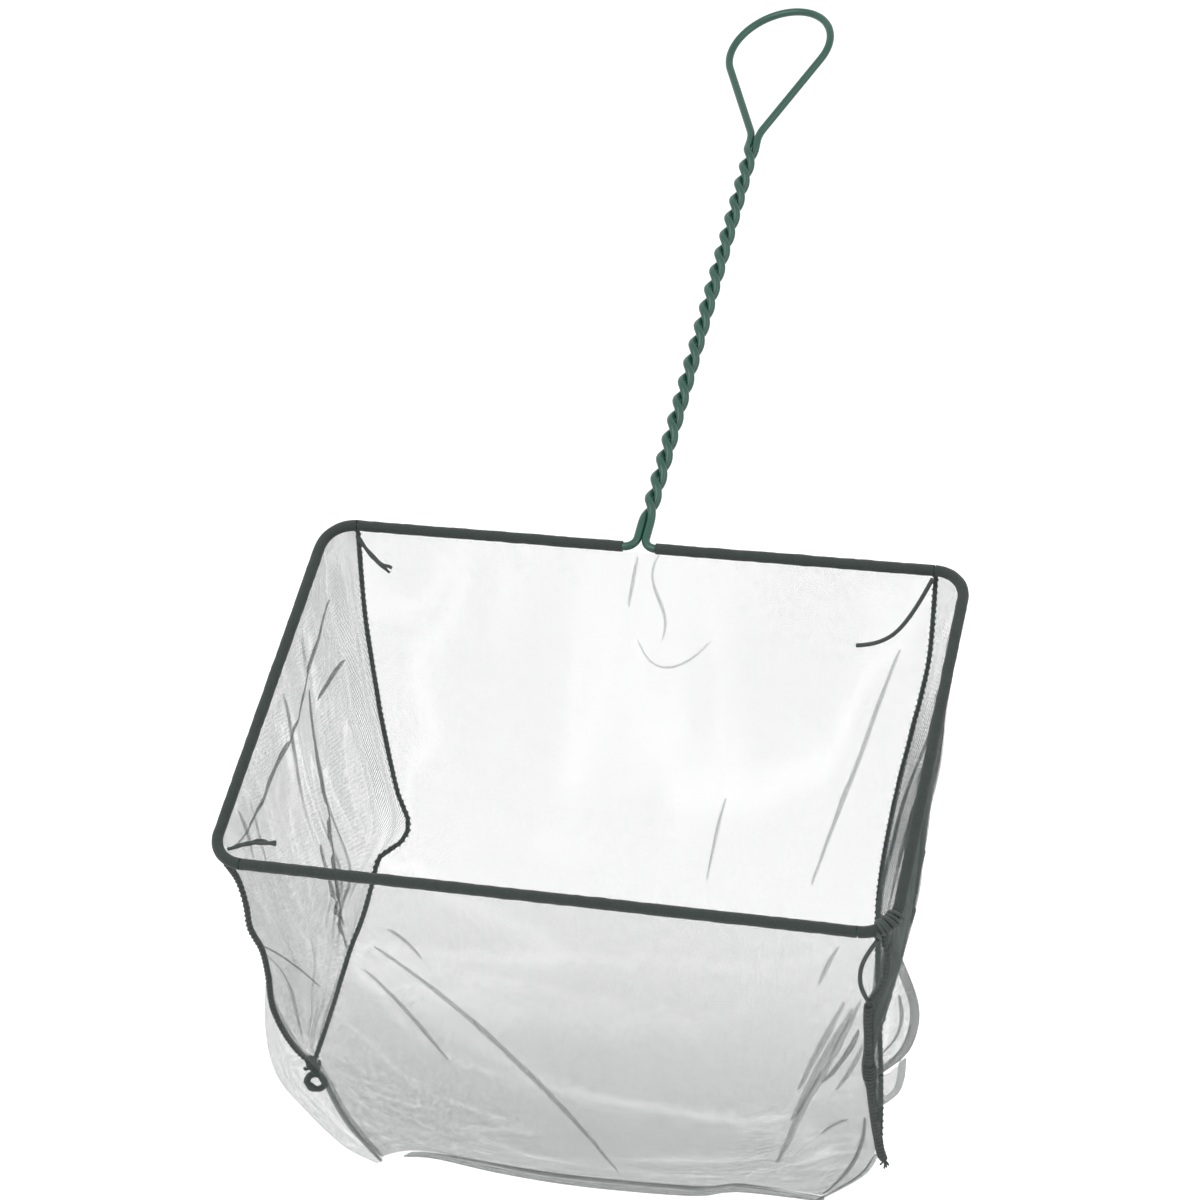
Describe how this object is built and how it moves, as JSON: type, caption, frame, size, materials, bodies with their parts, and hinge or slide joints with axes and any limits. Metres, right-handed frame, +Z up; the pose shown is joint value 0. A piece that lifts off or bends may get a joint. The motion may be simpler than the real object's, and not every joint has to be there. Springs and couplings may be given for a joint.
{
  "type": "aquarium fish net",
  "caption": "Hand net for an aquarium: a sheer net bag sewn to a rectangular wire rim, with a twisted wire handle that ends in a hanging loop.",
  "frame": {"origin": "middle of the twisted handle, on its axis, where a hand holds the net", "axes": "+Z up as the net is held, +Y level along the way the handle points, +X across the rim; the handle rises 24 degrees towards +Y and the bag hangs along -Z"},
  "size_m": [0.255, 0.4141, 0.3621],
  "materials": {
    "coated_wire": "steel wire in a satin green plastic coating",
    "bare_steel": "plain steel tube",
    "hem_tape": "close woven dark green-grey tape",
    "net": "very fine sheer grey-green net",
    "binding": "overlocked net edges, dark grey",
    "thread": "dark grey sewing thread"
  },
  "bodies": {
    "root": {"left_rim_wire": "coated_wire", "right_rim_wire": "coated_wire", "left_handle_strand": "coated_wire", "right_handle_strand": "coated_wire", "hanging_loop": "coated_wire", "joint_sleeve": "bare_steel", "front_hem": "hem_tape", "back_left_hem": "hem_tape", "back_right_hem": "hem_tape", "left_hem": "hem_tape", "right_hem": "hem_tape", "front_back_net": "net", "left_gusset_net": "net", "right_gusset_net": "net", "front_left_seam": "binding", "front_right_seam": "binding", "back_left_seam": "binding", "back_right_seam": "binding", "back_left_thread_tail": "thread", "back_right_thread_tail": "thread", "front_right_thread_tail": "thread", "front_left_thread_tail": "thread"}
  },
  "joints": []
}
